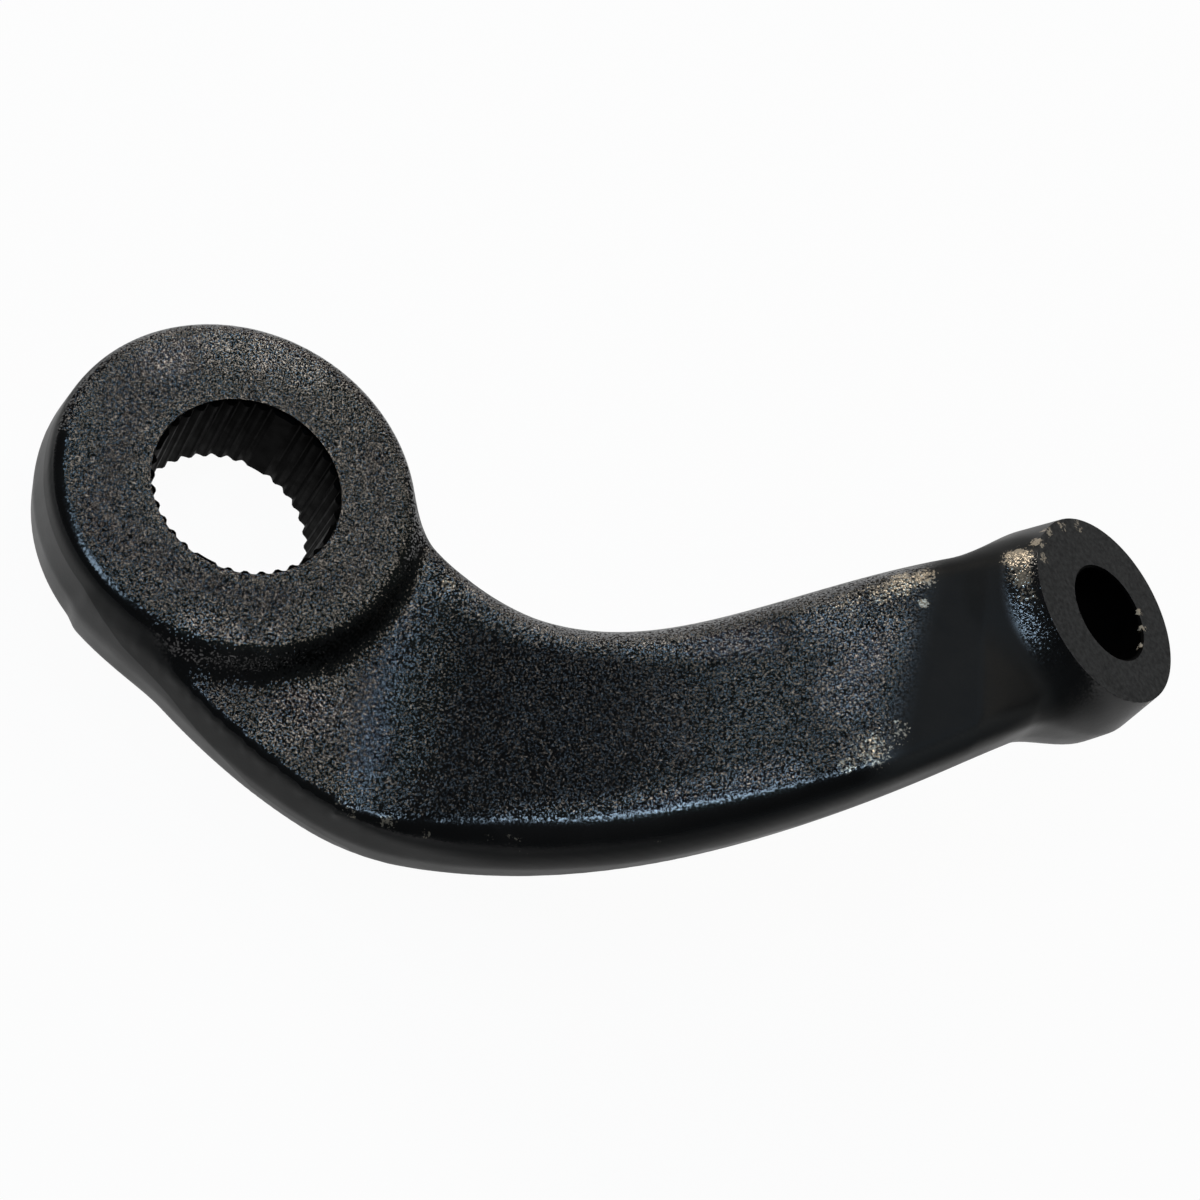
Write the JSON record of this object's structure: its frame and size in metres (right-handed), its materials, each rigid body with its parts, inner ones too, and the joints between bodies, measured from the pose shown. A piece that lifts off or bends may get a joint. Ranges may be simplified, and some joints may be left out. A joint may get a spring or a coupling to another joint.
{
  "type": "pitman arm",
  "caption": "Forged steering arm with a splined hub eye, a bowed and ramped arm and a leaning tapered stud eye.",
  "frame": {"origin": "on the sector shaft bore's axis, midway between the two hub faces", "axes": "+Z along the bore towards the upper hub face, +X from the hub towards the stud eye, arm bowed towards -Y"},
  "size_m": [0.1873, 0.0864, 0.0677],
  "materials": {
    "black_paint": "satin black over a shot-blasted forging"
  },
  "bodies": {
    "root": {"pitman_arm": "black_paint"}
  },
  "joints": []
}
